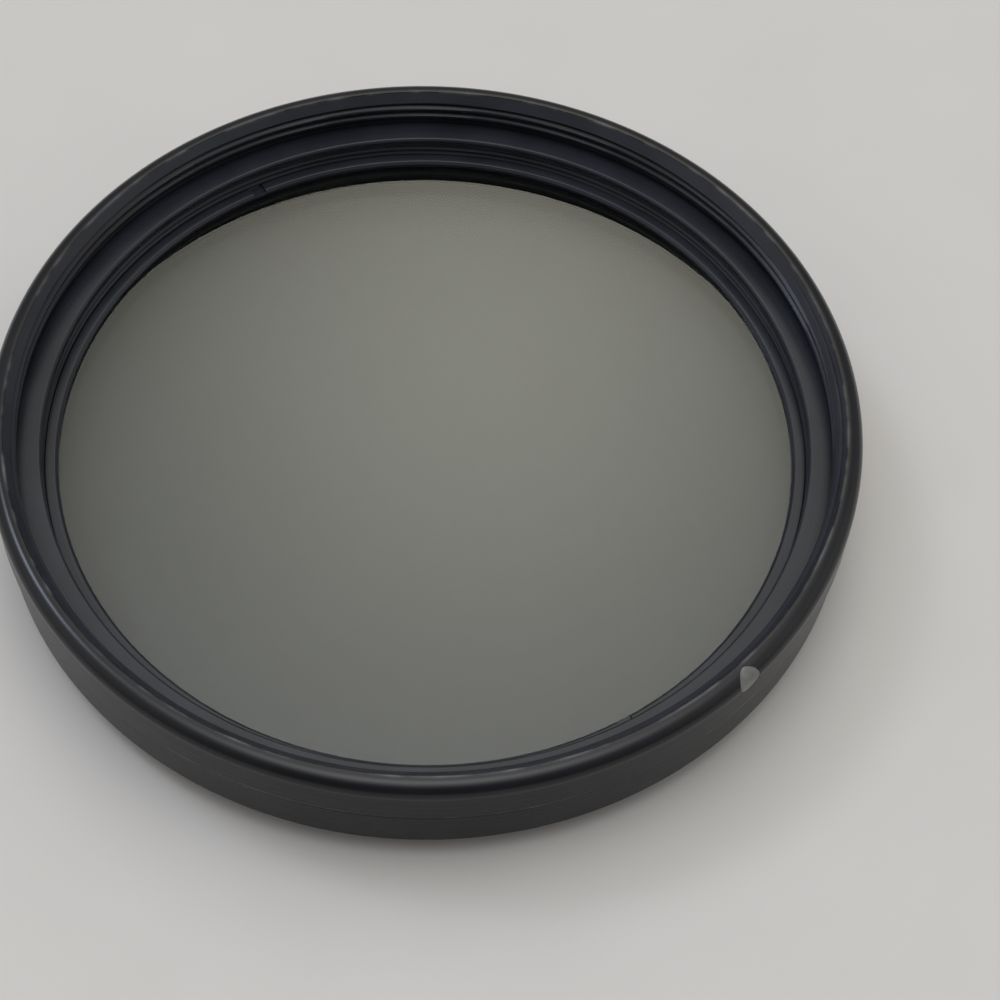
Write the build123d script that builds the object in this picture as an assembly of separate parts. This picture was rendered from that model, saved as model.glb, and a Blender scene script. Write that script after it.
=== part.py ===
"""A screw-in circular polarising filter for a camera lens.

The filter stands on its rear end, as it lies on a table: the optical axis is Z, the rear end of the
male thread is at Z = 0 and the front, which looks at the scene, is up. All sizes are in millimetres.
Every ring is turned from a section in the XZ plane, given as pairs of radius and height.
"""

import os

from build123d import *

# Filter thread, one standard size at both ends
thread_diameter = 58.0
thread_pitch = 0.75

# Mount ring, which screws into the lens
mount_wall = 1.05
thread_length = 2.4
thread_lead_in = 0.3
thread_neck_width = 0.4
thread_neck_depth = 0.5
flange_overhang = 1.3
flange_height = 3.45
edge_break = 0.15

# Front ring, which turns on the mount ring
rim_overhang = 1.5
rim_edge_radius = 1.0
rim_flat = 0.2
recess_depth = 2.95
relief_height = 0.55
relief_depth = 0.1
web_thickness = 0.75
sleeve_wall = 0.85
rear_setback = 2.85
seat_thickness = 0.35
seat_width = 0.6

# Laminated glass element
front_glass_thickness = 0.65
polarising_film_thickness = 0.12
quarter_wave_film_thickness = 0.08
rear_glass_thickness = 0.65
glass_bevel = 0.1

# Retaining ring, screwed down on the front glass
retaining_width = 0.9
retaining_thickness = 0.45
retaining_bevel = 0.2
spanner_slot_width = 1.0
spanner_slot_depth = 0.25
spanner_slot_angle = 120.0

# Split spring wire that holds the two rings together
wire_diameter = 0.6
wire_gap_angle = 28.0

# Pale index mark on the rounded front edge
index_diameter = 1.8
index_depth = 0.6
index_angle = -46.3
index_slope = 20.0

# Fits and clearances
running_clearance = 0.05
swivel_gap = 0.15
glass_clearance = 0.05
retaining_clearance = 0.03
wire_seat_clearance = 0.02
wire_running_clearance = 0.1
enamel_clearance = 0.01

# Thread radii: the crests of an internal metric thread stand 0.5413 of its pitch inside the nominal radius
thread_radius = thread_diameter / 2
front_thread_radius = thread_radius - 0.5413 * thread_pitch

# Other radii, worked inward from the thread
flange_radius = thread_radius + flange_overhang
rim_radius = thread_radius + rim_overhang
relief_radius = thread_radius + relief_depth
neck_radius = thread_radius - thread_neck_depth
bore_radius = thread_radius - mount_wall
sleeve_radius = bore_radius - running_clearance
pocket_radius = sleeve_radius - sleeve_wall
glass_radius = pocket_radius - glass_clearance
seat_radius = glass_radius - seat_width

# Heights, worked upward from the rear end
flange_top = thread_length + flange_height
wire_level = thread_length + flange_height / 2
front_base = flange_top + swivel_gap
shoulder_level = front_base + web_thickness
rim_level = shoulder_level + recess_depth
seat_level = rear_setback + seat_thickness
quarter_wave_level = seat_level + rear_glass_thickness
polarising_level = quarter_wave_level + quarter_wave_film_thickness
front_glass_level = polarising_level + polarising_film_thickness
retaining_level = front_glass_level + front_glass_thickness

# The wire springs outward into the mount ring's groove, and half of it stands out of that groove
wire_radius = wire_diameter / 2
wire_ring_radius = bore_radius


def turned(*section):
    """A solid of revolution about Z from the corners of its section, as radius and height pairs."""
    outline = Polyline(*[(radius, 0, height) for radius, height in section], close=True)
    return revolve(make_face(outline), Axis.Z)


def groove(floor, mouth, half_width):
    """The band of metal that is cut away for the wire, from the groove's mouth to its floor."""
    return turned(
        (floor, wire_level - half_width),
        (mouth, wire_level - half_width),
        (mouth, wire_level + half_width),
        (floor, wire_level + half_width),
    )


def make_mount_ring():
    """The rear ring: a plain bore, the male thread's cylinder with its neck, and the flange."""
    ring = turned(
        (bore_radius + edge_break, 0),
        (thread_radius - thread_lead_in, 0),
        (thread_radius, thread_lead_in),
        (thread_radius, thread_length - thread_neck_width),
        (neck_radius, thread_length - thread_neck_width),
        (neck_radius, thread_length),
        (flange_radius - edge_break, thread_length),
        (flange_radius, thread_length + edge_break),
        (flange_radius, flange_top - edge_break),
        (flange_radius - edge_break, flange_top),
        (bore_radius + edge_break, flange_top),
        (bore_radius, flange_top - edge_break),
        (bore_radius, edge_break),
    )
    floor = wire_ring_radius + wire_radius + wire_seat_clearance
    return ring - groove(floor, sleeve_radius, wire_radius + wire_seat_clearance)


def make_front_ring_blank():
    """The front ring before its index dimple: rim, thread bore, shoulder, sleeve and glass seat."""
    flat_inner = rim_radius - rim_edge_radius - rim_flat
    mouth_chamfer = flat_inner - front_thread_radius
    ring = turned(
        (rim_radius, rim_level),
        (flat_inner, rim_level),
        (front_thread_radius, rim_level - mouth_chamfer),
        (front_thread_radius, shoulder_level + relief_height),
        (relief_radius, shoulder_level + relief_height),
        (relief_radius, shoulder_level),
        (pocket_radius + edge_break, shoulder_level),
        (pocket_radius, shoulder_level - edge_break),
        (pocket_radius, seat_level),
        (seat_radius, seat_level),
        (seat_radius, rear_setback),
        (sleeve_radius - edge_break, rear_setback),
        (sleeve_radius, rear_setback + edge_break),
        (sleeve_radius, front_base),
        (rim_radius - edge_break, front_base),
        (rim_radius, front_base + edge_break),
    )
    rim_edge = ring.edges().group_by(Axis.Z)[-1].sort_by(SortBy.RADIUS)[-1]
    ring = fillet(rim_edge, rim_edge_radius)
    floor = wire_ring_radius - wire_radius - wire_running_clearance
    return ring - groove(floor, bore_radius, wire_radius + wire_running_clearance)


def index_plug(radius):
    """A round plug square to the rounded edge, from one index depth below its surface to above it."""
    plug = Cylinder(radius, 2 * index_depth, align=(Align.CENTER, Align.CENTER, Align.MIN))
    edge_centre = Pos(rim_radius - rim_edge_radius, 0, rim_level - rim_edge_radius)
    facing = Rot(0, 90 - index_slope, 0) * Pos(0, 0, rim_edge_radius - index_depth)
    return Rot(0, 0, index_angle) * edge_centre * facing * plug


def make_retaining_ring():
    """A flat ring on the front glass, bevelled toward the view, with two slots for a spanner."""
    outer = pocket_radius - retaining_clearance
    inner = outer - retaining_width
    top = retaining_level + retaining_thickness
    ring = turned(
        (inner, retaining_level),
        (outer, retaining_level),
        (outer, top),
        (inner + retaining_bevel, top),
        (inner, top - retaining_bevel),
    )
    slot = Box(2 * retaining_width, spanner_slot_width, 2 * spanner_slot_depth)
    for angle in (spanner_slot_angle, spanner_slot_angle + 180):
        ring -= Rot(0, 0, angle) * Pos(outer - retaining_width / 2, 0, top) * slot
    return ring


def make_disc(base, thickness):
    """A round pane or film of the laminated element."""
    disc = Cylinder(glass_radius, thickness, align=(Align.CENTER, Align.CENTER, Align.MIN))
    return Pos(0, 0, base) * disc


def make_snap_wire():
    """A round spring wire bent to a ring that stays open by its gap, ahead of the +Y axis."""
    start = Plane.XZ * Pos(wire_ring_radius, wire_level) * Circle(wire_radius)
    ring = revolve(start, Axis.Z, 360 - wire_gap_angle)
    return Rot(0, 0, 90 + wire_gap_angle / 2) * ring


front_blank = make_front_ring_blank()
rear_glass = make_disc(seat_level, rear_glass_thickness)
front_glass = make_disc(front_glass_level, front_glass_thickness)

nodes = {
    "mount_ring": make_mount_ring(),
    "snap_wire": make_snap_wire(),
    "front_ring": front_blank - index_plug(index_diameter / 2),
    "index_dot": front_blank & index_plug(index_diameter / 2 - enamel_clearance),
    "rear_glass": chamfer(rear_glass.edges().sort_by(Axis.Z)[0], glass_bevel),
    "quarter_wave_film": make_disc(quarter_wave_level, quarter_wave_film_thickness),
    "polarising_film": make_disc(polarising_level, polarising_film_thickness),
    "front_glass": chamfer(front_glass.edges().sort_by(Axis.Z)[-1], glass_bevel),
    "retaining_ring": make_retaining_ring(),
}

os.makedirs("parts", exist_ok=True)
for name, shape in nodes.items():
    shape.label = name
    export_step(shape, f"parts/{name}.step")
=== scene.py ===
# %% [markdown]
# # A screw-in polarising filter
#
# This notebook dresses a circular polarising filter for a camera lens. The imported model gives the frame:
# a mount ring that screws into the lens, a front ring that turns on it, and a laminated grey glass
# element that the front ring carries. The solids are plain where the real rings have threads, so the
# rings are turned again here with their threads, small edge radii and finishes.

# %% Load the frame
import math

import bmesh
import bpy
import numpy as np
from mathutils import Matrix, Vector


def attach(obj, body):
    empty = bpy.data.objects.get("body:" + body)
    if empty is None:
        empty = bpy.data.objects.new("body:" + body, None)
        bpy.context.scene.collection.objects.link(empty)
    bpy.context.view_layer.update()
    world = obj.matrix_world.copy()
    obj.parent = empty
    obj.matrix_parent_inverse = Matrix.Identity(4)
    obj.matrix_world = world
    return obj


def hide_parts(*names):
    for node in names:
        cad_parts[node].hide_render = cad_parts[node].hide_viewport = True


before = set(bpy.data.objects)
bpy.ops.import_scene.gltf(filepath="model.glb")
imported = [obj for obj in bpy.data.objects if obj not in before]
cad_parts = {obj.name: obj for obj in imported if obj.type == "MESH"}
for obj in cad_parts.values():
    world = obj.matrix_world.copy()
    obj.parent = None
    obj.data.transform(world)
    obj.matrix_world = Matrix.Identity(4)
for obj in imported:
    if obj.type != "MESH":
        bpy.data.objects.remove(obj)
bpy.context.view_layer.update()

# %% [markdown]
# ## The camera
#
# The rim of the filter is a circle, and a circle seen at an angle is an ellipse. Its two diameters give
# the height of the camera, and the way in which the inner circles shift gives its distance. A hand-held
# close-up is taken from about a hand's width, so the far side of the ring is clearly smaller than the
# near side. The camera looks past the filter a little, so it is turned until the centre of the rim falls
# on its place in the picture, which needs no lens shift.

# %% Camera
picture_side = 1000
focal_pixels = 2137.0
camera_distance = 0.14953
camera_height_angle = math.radians(53.58)
camera_roll = math.radians(-0.667)
rim_centre = Vector((0, 0, 0.00929))
rim_centre_pixel = (427.99, 400.20)

across = Vector((1, 0, 0))
away = Vector((0, math.cos(camera_height_angle), -math.sin(camera_height_angle)))
level_view = Matrix((across, across.cross(away), away))
sight_right = (rim_centre_pixel[0] - picture_side / 2) / focal_pixels
sight_up = (picture_side / 2 - rim_centre_pixel[1]) / focal_pixels
sight = Vector((sight_right, sight_up, 1))
sight.normalize()
aim = sight.rotation_difference(Vector((0, 0, 1))).to_matrix()
view = Matrix.Rotation(camera_roll, 3, sight) @ aim.transposed() @ level_view

camera_data = bpy.data.cameras.new("close_up_lens")
camera_data.sensor_width = 36.0
camera_data.lens = camera_data.sensor_width * focal_pixels / picture_side
camera_data.clip_start = 0.005
camera = bpy.data.objects.new("close_up_camera", camera_data)
camera.matrix_world = Matrix((view[0], view[1], -view[2])).transposed().to_4x4()
camera.location = rim_centre - camera_distance * away
bpy.context.scene.collection.objects.link(camera)
bpy.context.scene.camera = camera
print("camera at", [round(1000 * value, 1) for value in camera.location], "mm")

# %% [markdown]
# ## Colours and nodes
#
# Colours are easiest to read as the sRGB hex values that a colour picker shows, but a shader works with
# linear light, so one function changes the one to the other. A second function adds a node, sets it up
# and links it. With these two, a material reads as a list of what it is made of. Patterns are given in
# real millimetres: an object's coordinates are metres, so a noise of scale 1000 / size has that size.

# %% Helpers for materials
def linear(code):
    """A hex colour such as c8c5c1 as linear RGBA."""
    parts = [int(code[place:place + 2], 16) / 255 for place in (0, 2, 4)]
    return [c / 12.92 if c <= 0.04045 else ((c + 0.055) / 1.055) ** 2.4 for c in parts] + [1.0]


def add(tree, kind, inputs=None, **options):
    """Adds a node: options are its properties, and an input is a plain value or the output linked to it."""
    node = tree.nodes.new("ShaderNode" + kind)
    for option, value in options.items():
        setattr(node, option, value)
    for socket, value in (inputs or {}).items():
        if isinstance(value, bpy.types.NodeSocket):
            tree.links.new(value, node.inputs[socket])
        else:
            node.inputs[socket].default_value = value
    return node


def new_material(name):
    """An empty node material, with its tree and its output node."""
    material = bpy.data.materials.new(name)
    material.use_nodes = True
    material.node_tree.nodes.clear()
    return material, material.node_tree, add(material.node_tree, "OutputMaterial")


bpy.context.scene.view_settings.view_transform = "Standard"
print("paper grey in linear light:", [round(c, 3) for c in linear("c9c6c2")[:3]])

# %% [markdown]
# ## The table
#
# The filter lies on a sheet of pale paper. Paper is a matt felt of fibres: it has no gloss to speak of,
# a faint cloudiness where the fibres lie thicker, and a fine tooth, drawn coarser than the real one so
# that it can show. A large plane with those two patterns is enough, and it reaches far past the picture
# so that low views still see it.

# %% Paper
cloud_size = 12.0
tooth_size = 0.4
tooth_depth = 0.03
paper, tree, output = new_material("uncoated_paper")
place = add(tree, "TexCoord").outputs["Object"]
clouds = add(tree, "TexNoise", {"Vector": place, "Scale": 1000 / cloud_size, "Detail": 2.0})
shades = add(tree, "ValToRGB", {"Fac": clouds.outputs["Fac"]})
shades.color_ramp.elements[0].color = linear("c7c4c0")
shades.color_ramp.elements[1].color = linear("cccac6")
tooth = add(tree, "TexNoise", {"Vector": place, "Scale": 1000 / tooth_size, "Detail": 2.0})
grain = add(tree, "Bump", {
    "Height": tooth.outputs["Fac"], "Strength": 0.25, "Distance": tooth_depth / 1000,
})
sheet = add(tree, "BsdfPrincipled", {
    "Base Color": shades.outputs["Color"],
    "Roughness": 0.9,
    "Specular IOR Level": 0.2,
    "Normal": grain.outputs["Normal"],
})
tree.links.new(sheet.outputs["BSDF"], output.inputs["Surface"])

table_reach = 3.0
corners = [(-table_reach, -table_reach, 0), (table_reach, -table_reach, 0)]
corners += [(table_reach, table_reach, 0), (-table_reach, table_reach, 0)]
table_mesh = bpy.data.meshes.new("paper_table")
table_mesh.from_pydata(corners, [], [(0, 1, 2, 3)])
table_mesh.materials.append(paper)
table = bpy.data.objects.new("paper_table", table_mesh)
bpy.context.scene.collection.objects.link(table)
print("table of", 2 * table_reach, "m")

# %% [markdown]
# ## The light
#
# The filter lies in a room by day. Most of the light comes from the ceiling, so the paper is bright up to
# a soft shade on the near side, and less comes from the sides. The world is a sum of round soft lights,
# each a direction in which it is brightest, a power that says how quickly it falls off, and a strength. A
# small warm one stands where the glass mirrors it, and shows there as a faint glow. A small bluish one is
# a window on the left, which makes the highlight on the near left of the rim. All of it is set to a plain
# level, at which the paper comes out about as its colour is written.

# %% Room light
room = bpy.data.worlds.new("room")
bpy.context.scene.world = room
room.use_nodes = True
tree = room.node_tree
tree.nodes.clear()
soft_lights = {
    "all_round": ((0.0, 0.0, 1.0), 0.0, 0.12, "ffffff"),
    "ceiling": ((0.0, 0.0, 1.0), 12.0, 3.6, "fdfdff"),
    "left_wall": ((-0.86, 0.0, 0.5), 5.0, 0.6, "fdfdff"),
    "right_wall": ((0.86, 0.0, 0.5), 5.0, 0.65, "fffdfa"),
    "far_wall": ((0.0, 0.86, 0.5), 5.0, 0.25, "fffdfa"),
    "warm_glow": ((0.03, 0.613, 0.79), 75.0, 2.6, "fefbe4"),
    "window": ((-0.53, 0.33, 0.781), 150.0, 12.5, "dfeaff"),
}
where = add(tree, "TexCoord").outputs["Generated"]
light = None
for name, (direction, fall_off, strength, colour) in soft_lights.items():
    nearness = add(tree, "VectorMath", {0: where, 1: direction}, operation="DOT_PRODUCT")
    ahead = add(tree, "Math", {0: nearness.outputs["Value"], 1: 0.0}, operation="MAXIMUM")
    glow = add(tree, "Math", {0: ahead.outputs["Value"], 1: fall_off}, operation="POWER")
    level = add(tree, "Math", {0: glow.outputs["Value"], 1: strength}, operation="MULTIPLY")
    source = add(tree, "Background", {
        "Color": linear(colour), "Strength": level.outputs["Value"],
    }, label=name)
    if light is None:
        light = source.outputs["Background"]
    else:
        light = add(tree, "AddShader", {0: light, 1: source.outputs["Background"]}).outputs["Shader"]

# What is seen behind the table is a plain pale backdrop
backdrop = add(tree, "Background", {"Color": linear("d4d2cf"), "Strength": 1.0})
seen = add(tree, "LightPath")
both = add(tree, "MixShader", {
    "Fac": seen.outputs["Is Camera Ray"], 1: light, 2: backdrop.outputs["Background"],
})
add(tree, "OutputWorld", {"Surface": both.outputs["Shader"]})
print("soft lights:", ", ".join(soft_lights))

# %% [markdown]
# ## Turning a ring
#
# All the metal pieces are turned on a lathe, so each is a section that goes round the optical axis. A
# section is a run of points, each a radius and a height in millimetres. Sharp corners don't exist on
# turned parts, so each corner gets a small radius, and one more point a little way along each flat keeps
# the flat's shading flat. A Bevel modifier would round the threads as well, so the section is rounded
# before it is turned.

# %% Rounded sections
outer_round = 0.06
inner_round = 0.05


def rounded(corners, radius, steps=4):
    """Corners of an open run of (radius, height) points in mm, with the inner ones rounded off."""
    points = [np.array(corners[0], float)]
    for before, corner, after in zip(corners, corners[1:], corners[2:]):
        corner = np.array(corner, float)
        back = np.array(before, float) - corner
        ahead = np.array(after, float) - corner
        reach = min(radius, 0.4 * np.hypot(*back), 0.4 * np.hypot(*ahead))
        start = corner + back / np.hypot(*back) * reach
        end = corner + ahead / np.hypot(*ahead) * reach
        points.append(start + (start - corner) * 0.2)
        for share in np.linspace(0, 1, steps + 1):
            bend = (1 - share) ** 2 * start + 2 * share * (1 - share) * corner + share ** 2 * end
            points.append(bend)
        points.append(end + (end - corner) * 0.2)
    points.append(np.array(corners[-1], float))
    return np.array(points)


print("one corner becomes", len(rounded([(0, 0), (1, 0), (1, 1)], outer_round)) - 2, "points")

# %% [markdown]
# A Screw modifier could spin a section, but a thread changes its section with the angle. So a ring is
# written as a grid of points: one row for each point of the section, one column for each step of the
# turn.

# %% Lathe
turn_steps = 384
turn_angles = np.linspace(0, 2 * np.pi, turn_steps, endpoint=False)


def spin(name, sections, steps=turn_steps):
    """A mesh object from one closed section, or from one section for each step of the turn, in mm."""
    sections = np.asarray(sections, float) / 1000
    if sections.ndim == 2:
        sections = np.repeat(sections[None], steps, axis=0)
    rows = sections.shape[1]
    angles = np.linspace(0, 2 * np.pi, steps, endpoint=False)[:, None]
    x = sections[..., 0] * np.cos(angles)
    y = sections[..., 0] * np.sin(angles)
    points = np.stack([x, y, sections[..., 1]], axis=-1).reshape(-1, 3)
    column, row = np.meshgrid(np.arange(steps), np.arange(rows), indexing="ij")
    next_column = (column + 1) % steps
    next_row = (row + 1) % rows
    quads = np.stack([
        column * rows + row,
        next_column * rows + row,
        next_column * rows + next_row,
        column * rows + next_row,
    ], axis=-1).reshape(-1, 4)
    mesh = bpy.data.meshes.new(name)
    mesh.from_pydata(points.tolist(), [], quads.tolist())
    piece = bpy.data.objects.new(name, mesh)
    bpy.context.scene.collection.objects.link(piece)
    return piece


print("turned pieces have", turn_steps, "steps to the turn")

# %% [markdown]
# A turned piece still needs cleaning: points on the axis fall together, and faces have to look outward.
# What is drilled or milled after turning is cut with a Boolean, and its tool is thrown away.

# %% Cleaning and cutting
sharp_angle = math.radians(38)


def settle(piece):
    """Merges points that fall together, turns all faces outward and keeps only real corners sharp."""
    shape = bmesh.new()
    shape.from_mesh(piece.data)
    bmesh.ops.remove_doubles(shape, verts=shape.verts, dist=1e-7)
    bmesh.ops.recalc_face_normals(shape, faces=shape.faces)
    shape.to_mesh(piece.data)
    shape.free()
    piece.data.shade_smooth()
    piece.data.set_sharp_from_angle(angle=sharp_angle)
    print(piece.name, "has", len(piece.data.polygons), "faces")


def new_piece(name, shape):
    """Turns a finished bmesh into an object of the scene."""
    mesh = bpy.data.meshes.new(name)
    shape.to_mesh(mesh)
    shape.free()
    piece = bpy.data.objects.new(name, mesh)
    bpy.context.scene.collection.objects.link(piece)
    return piece


def cut_away(piece, *tools):
    """Takes the tools' shapes out of a piece, as a mill does after turning."""
    for tool in tools:
        cut = piece.modifiers.new("cut", "BOOLEAN")
        cut.operation = "DIFFERENCE"
        cut.solver = "EXACT"
        cut.object = tool
    cut_piece = piece.evaluated_get(bpy.context.evaluated_depsgraph_get())
    cut_mesh = bpy.data.meshes.new_from_object(cut_piece)
    piece.modifiers.clear()
    piece.data = cut_mesh
    for tool in tools:
        bpy.data.objects.remove(tool)


print("corners over", round(math.degrees(sharp_angle)), "degrees stay sharp")

# %% [markdown]
# ## Sizes from the solids
#
# The dressed pieces have to fit where their solids are, so the main radii and levels are read from the
# frame. Only what a solid's outside doesn't tell, such as a bore or a groove, is written as a size.

# %% Reading a solid
def extent(name):
    """The greatest radius, the lowest level and the highest level of a solid, in mm."""
    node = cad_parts[name]
    points = np.array([node.matrix_world @ vertex.co for vertex in node.data.vertices])
    radius = np.hypot(points[:, 0], points[:, 1]).max()
    return [round(1000 * float(value), 3) for value in (radius, points[:, 2].min(), points[:, 2].max())]


rim_radius, sleeve_end, rim_level = extent("front_ring")
flange_radius, rear_end, flange_top = extent("mount_ring")
glass_radius, seat_level, _ = extent("rear_glass")
print("front ring from", sleeve_end, "to", rim_level, "mm")
print("mount ring from", rear_end, "to", flange_top, "mm")

# %% [markdown]
# ## The filter thread
#
# Both ends carry the same fine metric thread, 58 mm across with a pitch of 0.75 mm: female in front, male
# at the rear. Its flanks stand at 60 degrees, and the groove of a female thread is flat for an eighth of
# the pitch and its crest for a quarter. Along the axis the depth is a clipped zigzag, and one pitch for
# each turn makes it climb. This small formula gives the real helix, with its start at the mouth, where a
# row of rings would only look like one from afar.

# %% Thread form
thread_radius = 29.0
thread_pitch = 0.75
thread_rows = 16
thread_depth = 0.5413 * thread_pitch


def thread_groove(height, angle, pitch, depth):
    """How deep the groove is, below the crest, at this height in mm and this angle."""
    phase = np.mod(height / pitch - angle / (2 * np.pi), 1.0)
    from_groove = np.abs(2 * phase - 1)
    return depth * np.clip((0.75 - from_groove) / 0.625, 0.0, 1.0)


print("thread depth", round(thread_depth, 3), "mm")

# %% [markdown]
# ## The front ring
#
# The front ring is what the fingers turn. Outside it is a plain wall with a generous radius at the front
# edge. Inside come the mouth chamfer, the female thread, a relief for the thread tool, a flat shoulder,
# and the pocket that holds the glass. The pocket has a finer thread of its own for the retaining ring.
# Below the shoulder a thin sleeve runs inside the mount ring, with a groove for the snap wire. The section
# is put together from these runs, from the foot of the outer wall over the rim and down the inside.

# %% Outer wall and rim
edge_radius = 1.0
edge_break = 0.15
rim_flat = 0.2
swivel_gap = 0.15
edge_circle = rim_radius - edge_radius
edge_level = rim_level - edge_radius
mouth_edge = edge_circle - rim_flat
front_base = flange_top + swivel_gap
wall_foot = front_base + edge_break

foot = rounded([
    (flange_radius, front_base), (rim_radius, wall_foot), (rim_radius, edge_level),
], outer_round)
# Rows on the plain wall, one close to the foot so that its worn edge stays narrow
wall_levels = (front_base + 0.4, front_base + 1.4, edge_level - 0.1)
wall = [(rim_radius, height) for height in wall_levels]
edge_turn = np.linspace(0, np.pi / 2, 25)
edge_arc = np.stack([
    edge_circle + edge_radius * np.cos(edge_turn),
    edge_level + edge_radius * np.sin(edge_turn),
], axis=-1)
outside = np.vstack([foot[1:-1], wall, edge_arc, [(mouth_edge + rim_flat / 2, rim_level)]])
print("outer wall from", round(front_base, 2), "mm, with an edge radius of", edge_radius, "mm")

# %% [markdown]
# Inside, the radii are worked from the mount ring's bore, in which the sleeve runs, and the levels from
# the rim. The wire slides in the sleeve's groove, so that one is a little wider than the wire.

# %% Shoulder and sleeve
bore_radius = 27.95
running_clearance = 0.05
sleeve_wall = 0.85
seat_width = 0.6
recess_depth = 2.95
relief_depth = 0.1
relief_height = 0.55
sleeve_radius = bore_radius - running_clearance
pocket_radius = sleeve_radius - sleeve_wall
seat_radius = glass_radius - seat_width
shoulder_level = rim_level - recess_depth
relief_radius = thread_radius + relief_depth
relief_top = shoulder_level + relief_height

thread_length = 2.4
wire_radius = 0.3
wire_play = 0.1
wire_level = (thread_length + flange_top) / 2
groove_half = wire_radius + wire_play
groove_floor = bore_radius - groove_half

pocket_top = shoulder_level - 0.4
pocket_end = seat_level + 0.8
shoulder = rounded([
    (relief_radius, relief_top), (relief_radius, shoulder_level),
    (pocket_radius + edge_break, shoulder_level), (pocket_radius, shoulder_level - edge_break),
    (pocket_radius, pocket_top + 0.05),
], outer_round)
sleeve = rounded([
    (pocket_radius, pocket_end - 0.3), (pocket_radius, seat_level), (seat_radius, seat_level),
    (seat_radius, sleeve_end), (sleeve_radius - edge_break, sleeve_end),
    (sleeve_radius, sleeve_end + edge_break), (sleeve_radius, wire_level - groove_half),
    (groove_floor, wire_level - groove_half), (groove_floor, wire_level + groove_half),
    (sleeve_radius, wire_level + groove_half), (sleeve_radius, front_base), (flange_radius, front_base),
], inner_round)
print("shoulder at", round(shoulder_level, 2), "mm, sleeve of radius", round(sleeve_radius, 2), "mm")

# %% [markdown]
# The two threads need closely spaced rows. The front thread starts where its grooves come out of the
# mouth chamfer, and the fine one in the pocket fades in and out over part of a turn, as a tool that is
# drawn in and out leaves it.

# %% Front ring
pocket_pitch = 0.5
pocket_depth = 0.18
pocket_rows = 12
mouth_heights = np.arange(rim_level, relief_top, -thread_pitch / thread_rows)
pocket_heights = np.arange(pocket_top, pocket_end - 0.1, -pocket_pitch / pocket_rows)


def front_section(angle):
    """The closed section of the front ring at one angle of the turn."""
    mouth_chamfer = mouth_heights - rim_level + mouth_edge
    groove = thread_groove(mouth_heights, angle, thread_pitch, thread_depth)
    mouth_radii = np.maximum(mouth_chamfer, thread_radius - thread_depth + groove)
    mouth = np.stack([mouth_radii, mouth_heights], axis=-1)
    fade_in = np.clip((pocket_top - pocket_heights) / 0.25, 0, 1)
    fade_out = np.clip((pocket_heights - pocket_end) / 0.3, 0, 1)
    fine = thread_groove(pocket_heights, angle, pocket_pitch, pocket_depth) * fade_in * fade_out
    pocket = np.stack([pocket_radius + fine, pocket_heights], axis=-1)
    return np.vstack([outside, mouth, shoulder, pocket, sleeve])


front_ring = spin("front_ring_turned", [front_section(angle) for angle in turn_angles])
print("front ring section has", len(front_section(0.0)), "points")

# %% [markdown]
# ## The index mark
#
# One grey dot on the rounded edge shows how far the filter has been turned. A drill makes a shallow round
# dimple square to the edge, and a drop of enamel fills it. Both are built in the dimple's own three
# directions: sideways along the edge, upward, and outward along the drill.

# %% Directions of the dimple
index_turn = math.radians(-46.3)
index_tilt = math.radians(20.0)


def index_point(sideways, upward, outward):
    """A point of the frame, in metres, from mm along the dimple's own three directions."""
    radial = edge_circle + outward * math.cos(index_tilt) - upward * math.sin(index_tilt)
    height = edge_level + outward * math.sin(index_tilt) + upward * math.cos(index_tilt)
    x = radial * math.cos(index_turn) - sideways * math.sin(index_turn)
    y = radial * math.sin(index_turn) + sideways * math.cos(index_turn)
    return Vector((x, y, height)) / 1000


def circle(radius, steps):
    """The (sideways, upward) places of a circle around the dimple's middle."""
    angles = [2 * math.pi * step / steps for step in range(steps)]
    return [(radius * math.cos(angle), radius * math.sin(angle)) for angle in angles]


print("index mark at", [round(1000 * value, 2) for value in index_point(0, 0, edge_radius)], "mm")

# %% [markdown]
# The drill is a plain round bar, long enough to stand out of the edge, and a Boolean takes it out of the
# ring.

# %% Index dimple
dimple_radius = 0.9
dimple_depth = 0.6
dimple_floor = edge_radius - dimple_depth


def drill(radius, bottom, top, steps=64):
    """A round tool square to the edge at the index mark."""
    tool = bmesh.new()
    low, high = [
        [tool.verts.new(index_point(side, rise, outward)) for side, rise in circle(radius, steps)]
        for outward in (bottom, top)
    ]
    tool.faces.new(low)
    tool.faces.new(high)
    for step in range(steps):
        after = (step + 1) % steps
        tool.faces.new((low[step], low[after], high[after], high[step]))
    bmesh.ops.recalc_face_normals(tool, faces=tool.faces)
    return new_piece("drill", tool)


settle(front_ring)
cut_away(front_ring, drill(dimple_radius, dimple_floor, 1.5 * edge_radius))
settle(front_ring)

# %% [markdown]
# The drop is a round grid of points. It follows the rounded edge, a hair below it, and sinks a little in
# the middle, as enamel does when it dries.

# %% Enamel drop
enamel_gap = 0.01
enamel_lift = 0.005
enamel_setback = 0.02
enamel_sink = 0.05


def edge_surface(sideways, upward):
    """How far out the ring's surface stands at this place of the dimple, found by halving."""
    low, high = 0.0, 1.5 * edge_radius
    for _ in range(30):
        middle = (low + high) / 2
        point = 1000 * index_point(sideways, upward, middle)
        past_circle = max(math.hypot(point.x, point.y) - edge_circle, 0)
        from_edge = math.hypot(past_circle, max(point.z - edge_level, 0))
        low, high = (middle, high) if from_edge < edge_radius else (low, middle)
    return low


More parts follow.
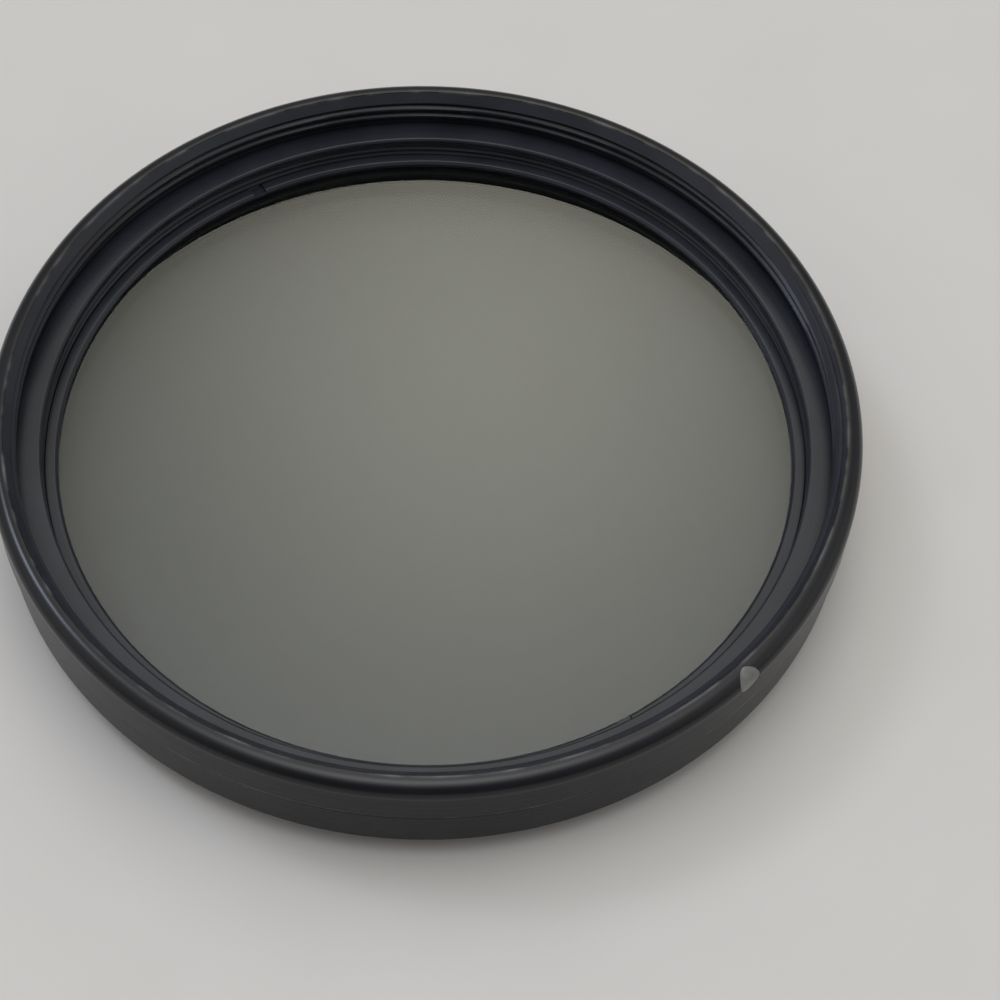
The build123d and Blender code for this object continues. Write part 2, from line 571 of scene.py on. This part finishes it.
def drop(radius, bottom, sink, rings=8, steps=48):
    """The dried enamel: a round pool that follows the edge and is lowest in its middle."""
    pool = bmesh.new()
    middle = pool.verts.new(index_point(0, 0, edge_surface(0, 0) - enamel_setback - sink))
    rows = []
    for ring in range(1, rings + 1):
        share = ring / rings
        row = []
        for side, rise in circle(radius * share, steps):
            level = edge_surface(side, rise) - enamel_setback - sink * (1 - share ** 2)
            row.append(pool.verts.new(index_point(side, rise, level)))
        rows.append(row)
    rows.append([pool.verts.new(index_point(side, rise, bottom)) for side, rise in circle(radius, steps)])
    for step in range(steps):
        pool.faces.new((middle, rows[0][step], rows[0][(step + 1) % steps]))
    for inner, outer in zip(rows, rows[1:]):
        for step in range(steps):
            after = (step + 1) % steps
            pool.faces.new((inner[step], outer[step], outer[after], inner[after]))
    pool.faces.new(rows[-1])
    return new_piece("index_enamel_drop", pool)


index_drop = drop(dimple_radius - enamel_gap, dimple_floor + enamel_lift, enamel_sink)
settle(index_drop)

# %% [markdown]
# ## The mount ring
#
# The mount ring stays still on the lens. At the rear it has the male thread with a lead-in chamfer and a
# neck for the thread tool, above that a flange that the fingers hold while the front ring turns. Its bore
# carries the sleeve, and a groove in it takes the outer half of the snap wire, which sits tight there.

# %% Mount ring
neck_depth = 0.5
neck_width = 0.4
lead_in = 0.3
wire_seat = 0.02
neck_radius = thread_radius - neck_depth
neck_base = thread_length - neck_width
seat_half = wire_radius + wire_seat
seat_floor = bore_radius + seat_half
male_heights = np.arange(0.05, neck_base, thread_pitch / thread_rows)
flange = rounded([
    (neck_radius, neck_base), (neck_radius, thread_length), (flange_radius - edge_break, thread_length),
    (flange_radius, thread_length + edge_break), (flange_radius, flange_top - edge_break),
    (flange_radius - edge_break, flange_top), (bore_radius + edge_break, flange_top),
    (bore_radius, flange_top - edge_break), (bore_radius, wire_level + seat_half),
    (seat_floor, wire_level + seat_half), (seat_floor, wire_level - seat_half),
    (bore_radius, wire_level - seat_half), (bore_radius, rear_end + edge_break),
    (bore_radius + edge_break, rear_end), (thread_radius - lead_in, rear_end),
], inner_round)


def mount_section(angle):
    """The closed section of the mount ring at one angle of the turn."""
    chamfer = thread_radius - lead_in + male_heights
    groove = thread_groove(male_heights, angle, thread_pitch, thread_depth)
    male = np.stack([np.minimum(chamfer, thread_radius - groove), male_heights], axis=-1)
    return np.vstack([male, flange])


mount_ring = spin("mount_ring_turned", [mount_section(angle) for angle in turn_angles])
settle(mount_ring)

# %% [markdown]
# ## The retaining ring
#
# A thin ring screws into the pocket and holds the glass down. Its inner edge is bevelled so that it takes
# no light from the view, and two slots across it take the points of a lens spanner. It is turned like the
# others, and two small bars cut the slots.

# %% Retaining ring
retaining_width = 0.9
retaining_bevel = 0.2
retaining_outer, retaining_base, retaining_top = extent("retaining_ring")
retaining_inner = retaining_outer - retaining_width
retaining_ring = spin("retaining_ring_turned", rounded([
    (retaining_inner, retaining_base + 0.1), (retaining_inner, retaining_base),
    (retaining_outer, retaining_base), (retaining_outer, retaining_top),
    (retaining_inner + retaining_bevel, retaining_top), (retaining_inner, retaining_top - retaining_bevel),
    (retaining_inner, retaining_base + 0.15),
], inner_round))
settle(retaining_ring)

slot_length = 2.6
slot_width = 1.0
slot_depth = 0.25
slot_angle = math.radians(120.0)
bars = []
bar_size = Matrix.Diagonal((slot_length / 1000, slot_width / 1000, 2 * slot_depth / 1000, 1))
bar_middle = Matrix.Translation(((retaining_outer + retaining_inner) / 2000, 0, retaining_top / 1000))
for turn in (slot_angle, slot_angle + math.pi):
    bar = bmesh.new()
    bmesh.ops.create_cube(bar, size=1.0, matrix=Matrix.Rotation(turn, 4, "Z") @ bar_middle @ bar_size)
    bars.append(new_piece("spanner_bar", bar))
cut_away(retaining_ring, *bars)
settle(retaining_ring)

# %% [markdown]
# ## The laminated element
#
# The grey comes from a stretched film between two panes of glass, with a clear retarder film behind it.
# The four layers are cemented face to face. Two faces in the same plane would confuse the renderer, so
# each layer is made a few thousandths of a millimetre thinner than its solid.

# %% Panes and films
cement = 0.004
cut_edge = 0.002
pane_bevel = 0.1
face_rings = (0, 2, 6, 12, 19, 26)


def layer(name, node, bevel_bottom=cut_edge, bevel_top=cut_edge):
    """A round pane or film, turned from the axis outward and back, with the bevels that its edge has."""
    radius, base, top = extent(node)
    base += cement
    top -= cement
    lower = [(ring, base) for ring in face_rings] + [(radius - bevel_bottom, base)]
    edge = [(radius, base + bevel_bottom), (radius, top - bevel_top)]
    upper = [(radius - bevel_top, top)] + [(ring, top) for ring in reversed(face_rings)]
    piece = spin(name, lower + edge + upper, steps=96)
    settle(piece)
    return piece


front_pane = layer("front_pane", "front_glass", bevel_top=pane_bevel)
grey_film = layer("grey_film", "polarising_film")
clear_film = layer("clear_film", "quarter_wave_film")
rear_pane = layer("rear_pane", "rear_glass", bevel_bottom=pane_bevel)

# %% [markdown]
# ## Black anodised aluminium
#
# The rings are aluminium, turned, blasted with fine glass beads and anodised black. The dyed oxide is a
# hard clear skin over a black ground: it reflects a little, softly, and shows faint rings where the tool
# went round. The marks follow the distance from the axis on flat faces and the height on walls, so the
# sum of both is one pattern for all faces. Real feed marks are about 0.05 mm apart and the beads' dents no
# larger, both too fine for the picture, so they are drawn coarser. Where an edge is worn, the dye is gone
# and grey metal shows in patches.

# %% Anodised finish
mark_depth = 0.004
bead_size = 0.18
bead_depth = 0.004
dye_size = 4.0
patch_size = 2.5
gloss_change = 0.04


def anodised(name, dark, light, roughness, specular, mark_spacing):
    """Black anodised aluminium with turning marks this many mm apart."""
    material, tree, output = new_material(name)
    place = add(tree, "TexCoord").outputs["Object"]
    flat = add(tree, "VectorMath", {0: place, 1: (1, 1, 0)}, operation="MULTIPLY")
    radius = add(tree, "VectorMath", {0: flat.outputs["Vector"]}, operation="LENGTH")
    height = add(tree, "SeparateXYZ", {"Vector": place})
    path = add(tree, "Math", {0: radius.outputs["Value"], 1: height.outputs["Z"]}, operation="ADD")
    marks = add(tree, "TexNoise", {
        "W": path.outputs["Value"], "Scale": 1000 / mark_spacing, "Detail": 2.0,
    }, noise_dimensions="1D")
    beads = add(tree, "TexNoise", {"Vector": place, "Scale": 1000 / bead_size, "Detail": 2.0})
    relief = add(tree, "Bump", {
        "Height": marks.outputs["Fac"], "Strength": 0.5, "Distance": mark_depth / 1000,
    })
    tooth = add(tree, "Bump", {
        "Height": beads.outputs["Fac"], "Strength": 0.35, "Distance": bead_depth / 1000,
        "Normal": relief.outputs["Normal"],
    })
    dye = add(tree, "TexNoise", {"Vector": place, "Scale": 1000 / dye_size, "Detail": 2.0})
    shade = add(tree, "ValToRGB", {"Fac": dye.outputs["Fac"]})
    shade.color_ramp.elements[0].position = 0.35
    shade.color_ramp.elements[0].color = linear(dark)
    shade.color_ramp.elements[1].position = 0.65
    shade.color_ramp.elements[1].color = linear(light)
    rub = add(tree, "Attribute", attribute_name="wear")
    patches = add(tree, "TexNoise", {"Vector": place, "Scale": 1000 / patch_size, "Detail": 2.0})
    worn = add(tree, "MapRange", {"Value": patches.outputs["Fac"], "From Min": 0.45, "From Max": 0.75})
    amount = add(tree, "Math", {0: rub.outputs["Fac"], 1: worn.outputs["Result"]}, operation="MULTIPLY")
    bare = add(tree, "Mix", {
        0: amount.outputs["Value"], 6: shade.outputs["Color"], 7: linear("6b6c6f"),
    }, data_type="RGBA")
    gloss = add(tree, "MapRange", {
        "Value": marks.outputs["Fac"], "From Min": 0.3, "From Max": 0.7,
        "To Min": roughness - gloss_change, "To Max": roughness + gloss_change,
    })
    skin = add(tree, "BsdfPrincipled", {
        "Base Color": bare.outputs[2],
        "Roughness": gloss.outputs["Result"],
        "IOR": 1.5,
        "Specular IOR Level": specular,
        "Normal": tooth.outputs["Normal"],
    })
    tree.links.new(skin.outputs["BSDF"], output.inputs["Surface"])
    return material


satin_black = anodised("black_anodised_satin", "121316", "17181c", 0.22, 0.35, 0.22)
blasted_black = anodised("black_anodised_blasted", "121317", "17181d", 0.3, 0.16, 0.22)
# The inside finish is painted a shade greyer than the other two: painted glare over the dark inside.
matt_black_painted_glare = anodised("black_anodised_matt_painted_glare", "22242a", "282a31", 0.3, 0.33, 0.16)
print("finishes:", satin_black.name, blasted_black.name, matt_black_painted_glare.name)

# %% [markdown]
# How long a face was blasted decides its gloss, so there are three finishes. The rounded front edge, which
# fingers polish, is satin. The walls are blasted and mirror less of the paper. Everything inside the mouth,
# and the retaining ring, is blasted longest, because stray light there would end up in the lens. Its black
# is also painted a shade greyer: painted glare, which stands in for stray light that lifts the dark inside.

# %% Finishes on the rings
for ring, finishes in (
    (mount_ring, [blasted_black]),
    (front_ring, [satin_black, blasted_black, matt_black_painted_glare]),
    (retaining_ring, [matt_black_painted_glare]),
):
    ring.data.materials.clear()
    for finish in finishes:
        ring.data.materials.append(finish)

# Faces inside the mouth take the finish with the painted glare.
mouth_radius = mouth_edge - 0.05
for face in front_ring.data.polygons:
    inside = 1000 * math.hypot(face.center.x, face.center.y) < mouth_radius
    on_wall = 1000 * face.center.z < edge_level
    face.material_index = 2 if inside else 1 if on_wall else 0
print("front ring carries", len(front_ring.data.materials), "finishes")

# %% [markdown]
# Edges that rub in a bag lose a little of the dye. How near each point lies to such an edge is stored with
# the mesh, where the finish reads it, so the wear stays on the ring when it turns.

# %% Worn edges
wear_width = 0.09


def mark_wear(piece, *edges):
    """Stores how near each point lies to an edge that rubs, given as (radius, height) in mm."""
    count = len(piece.data.vertices)
    points = np.empty(3 * count, np.float32)
    piece.data.vertices.foreach_get("co", points)
    points = 1000 * points.reshape(-1, 3).astype(float)
    radius = np.hypot(points[:, 0], points[:, 1])
    wear = np.zeros(count)
    for edge_r, edge_z in edges:
        distance = np.hypot(radius - edge_r, points[:, 2] - edge_z)
        wear = np.maximum(wear, np.exp(-(distance / wear_width) ** 2))
    attribute = piece.data.attributes.new("wear", "FLOAT", "POINT")
    attribute.data.foreach_set("value", wear.astype(np.float32))
    print(piece.name, "is worn along", len(edges), "edges")


rub_radius = flange_radius - 0.02
rub_inset = 0.05
mark_wear(front_ring, (mouth_edge, rim_level), (rim_radius, wall_foot))
mark_wear(
    mount_ring,
    (rub_radius, thread_length + rub_inset),
    (rub_radius, flange_top - rub_inset),
    (thread_radius, lead_in),
)

# %% [markdown]
# ## Index enamel
#
# The mark is a grey stoved enamel: a pigment in a hard clear resin. It is glossy but never quite flat, so
# a fine noise gives it both a slight ripple and a few darker, dirty spots.

# %% Enamel finish
dirt_size = 0.5
ripple_depth = 0.03
enamel, tree, output = new_material("stoved_enamel_grey")
place = add(tree, "TexCoord").outputs["Object"]
dirt = add(tree, "TexNoise", {"Vector": place, "Scale": 1000 / dirt_size, "Detail": 3.0})
shade = add(tree, "ValToRGB", {"Fac": dirt.outputs["Fac"]})
shade.color_ramp.elements[0].position = 0.3
shade.color_ramp.elements[0].color = linear("60605e")
shade.color_ramp.elements[1].position = 0.6
shade.color_ramp.elements[1].color = linear("6e6e6c")
ripple = add(tree, "Bump", {
    "Height": dirt.outputs["Fac"], "Strength": 0.2, "Distance": ripple_depth / 1000,
})
resin = add(tree, "BsdfPrincipled", {
    "Base Color": shade.outputs["Color"], "Roughness": 0.3, "IOR": 1.52, "Normal": ripple.outputs["Normal"],
})
tree.links.new(resin.outputs["BSDF"], output.inputs["Surface"])
index_drop.data.materials.append(enamel)
print("enamel on", index_drop.name)

# %% [markdown]
# ## Spring steel
#
# The snap wire is drawn spring steel, bright grey, with fine lines along it from the die. Its solid has
# the right shape, so it keeps its mesh and only gets its finish. It is a true metal, so the default IOR
# stays.

# %% Wire finish
die_line_spacing = 0.05
steel, tree, output = new_material("drawn_spring_steel")
place = add(tree, "TexCoord").outputs["Object"]
flat = add(tree, "VectorMath", {0: place, 1: (1, 1, 0)}, operation="MULTIPLY")
radius = add(tree, "VectorMath", {0: flat.outputs["Vector"]}, operation="LENGTH")
height = add(tree, "SeparateXYZ", {"Vector": place})
path = add(tree, "Math", {0: radius.outputs["Value"], 1: height.outputs["Z"]}, operation="ADD")
lines = add(tree, "TexNoise", {
    "W": path.outputs["Value"], "Scale": 1000 / die_line_spacing,
}, noise_dimensions="1D")
shade = add(tree, "ValToRGB", {"Fac": lines.outputs["Fac"]})
shade.color_ramp.elements[0].color = linear("a4a4a8")
shade.color_ramp.elements[1].color = linear("bababd")
gloss = add(tree, "MapRange", {"Value": lines.outputs["Fac"], "To Min": 0.22, "To Max": 0.4})
wire = add(tree, "BsdfPrincipled", {
    "Base Color": shade.outputs["Color"], "Metallic": 1.0, "Roughness": gloss.outputs["Result"],
})
tree.links.new(wire.outputs["BSDF"], output.inputs["Surface"])
snap_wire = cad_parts["snap_wire"]
snap_wire.data.materials.clear()
snap_wire.data.materials.append(steel)
print("steel on", snap_wire.name)

# %% [markdown]
# ## Glass
#
# The panes are polished optical glass, clear with a trace of green, and flat. Only the two outer faces of
# the element meet the air: there the light bends, and a few hundredths of it are mirrored. The inner faces
# are cemented, and cement bends light like glass does, so they can't be seen and let everything straight
# through. Wiping leaves smears that soften the mirror image in places. Clear panes hardly shade the paper
# below them, so they cast no shadow and the film alone darkens it.

# %% Glass finish
smear_size = 9.0
glass, tree, output = new_material("polished_optical_glass")
place = add(tree, "TexCoord").outputs["Object"]
smears = add(tree, "TexNoise", {"Vector": place, "Scale": 1000 / smear_size, "Detail": 1.0})
gloss = add(tree, "MapRange", {
    "Value": smears.outputs["Fac"], "From Min": 0.4, "From Max": 0.75, "To Min": 0.0, "To Max": 0.05,
})
pane = add(tree, "BsdfPrincipled", {
    "Base Color": linear("f9fcfb"),
    "Roughness": gloss.outputs["Result"],
    "IOR": 1.52,
    "Transmission Weight": 1.0,
})
tree.links.new(pane.outputs["BSDF"], output.inputs["Surface"])

cemented, tree, output = new_material("cemented_glass_face")
through = add(tree, "BsdfTransparent", {"Color": linear("fdfefd")})
tree.links.new(through.outputs["BSDF"], output.inputs["Surface"])

for clear, inward in ((front_pane, -1), (rear_pane, 1)):
    clear.data.materials.append(glass)
    clear.data.materials.append(cemented)
    for face in clear.data.polygons:
        face.material_index = 1 if face.normal.z * inward > 0.9 else 0
    clear.visible_shadow = False
    clear.visible_diffuse = False
print("glass on", front_pane.name, "and", rear_pane.name)

# %% [markdown]
# ## Films
#
# The polarising film is stretched plastic dyed with iodine, with faint streaks along the stretch. It lets
# less than half of the light through, almost neutral, and takes the rest. Light from the paper has gone
# through it twice, so the paper looks several times darker there than beside the filter.

# %% Polarising film
streak_length = 20.0
streak_width = 1.0
grey, tree, output = new_material("iodine_polarising_film")
place = add(tree, "TexCoord").outputs["Object"]
streaks = add(tree, "Mapping", {"Vector": place, "Scale": (1000 / streak_length, 1000 / streak_width, 1)})
stretch = add(tree, "TexNoise", {"Vector": streaks.outputs["Vector"], "Scale": 1.0, "Detail": 1.0})
body = add(tree, "ValToRGB", {"Fac": stretch.outputs["Fac"]})
body.color_ramp.elements[0].color = linear("1f201e")
body.color_ramp.elements[1].color = linear("262725")
plastic = add(tree, "BsdfDiffuse", {"Color": body.outputs["Color"]})
through = add(tree, "BsdfTransparent", {"Color": linear("d0d1d2")})
dyed = add(tree, "MixShader", {"Fac": 0.04, 1: through.outputs["BSDF"], 2: plastic.outputs["BSDF"]})
tree.links.new(dyed.outputs["Shader"], output.inputs["Surface"])
grey_film.data.materials.append(grey)
print("film:", grey.name)

# %% [markdown]
# The retarder film next to it is cast and clear, with a trace of haze, and only turns the light. A ray
# meets many see-through faces on its way down and up again, so the limit for them is raised.

# %% Retarder film
haze_size = 6.0
clear_cast, tree, output = new_material("clear_cast_film")
place = add(tree, "TexCoord").outputs["Object"]
haze = add(tree, "TexNoise", {"Vector": place, "Scale": 1000 / haze_size, "Detail": 1.0})
tint = add(tree, "ValToRGB", {"Fac": haze.outputs["Fac"]})
tint.color_ramp.elements[0].color = linear("e9e9e4")
tint.color_ramp.elements[1].color = linear("f2f2ee")
plastic = add(tree, "BsdfDiffuse", {"Color": tint.outputs["Color"]})
through = add(tree, "BsdfTransparent", {"Color": linear("fcfcfa")})
cast = add(tree, "MixShader", {"Fac": 0.01, 1: through.outputs["BSDF"], 2: plastic.outputs["BSDF"]})
tree.links.new(cast.outputs["Shader"], output.inputs["Surface"])
clear_film.data.materials.append(clear_cast)
clear_film.visible_shadow = False
clear_film.visible_diffuse = False
bpy.context.scene.cycles.transparent_max_bounces = 24
print("film:", clear_cast.name)

# %% [markdown]
# ## Putting the pieces on the frame
#
# Each piece stands for one solid and moves with that solid's body: the mount ring stays, and everything
# that the front ring carries turns with it.

# %% Ride, stand for, finish
pieces = (
    (mount_ring, "mount", "mount_ring", "black_anodised"),
    (front_ring, "rotating_front", "front_ring", "black_anodised"),
    (index_drop, "rotating_front", "index_dot", "index_enamel"),
    (retaining_ring, "rotating_front", "retaining_ring", "black_anodised"),
    (front_pane, "rotating_front", "front_glass", "clear_glass"),
    (grey_film, "rotating_front", "polarising_film", "polarising_film"),
    (clear_film, "rotating_front", "quarter_wave_film", "retarder_film"),
    (rear_pane, "rotating_front", "rear_glass", "clear_glass"),
)
for piece, body, node, finish in pieces:
    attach(piece, body)
    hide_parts(node)
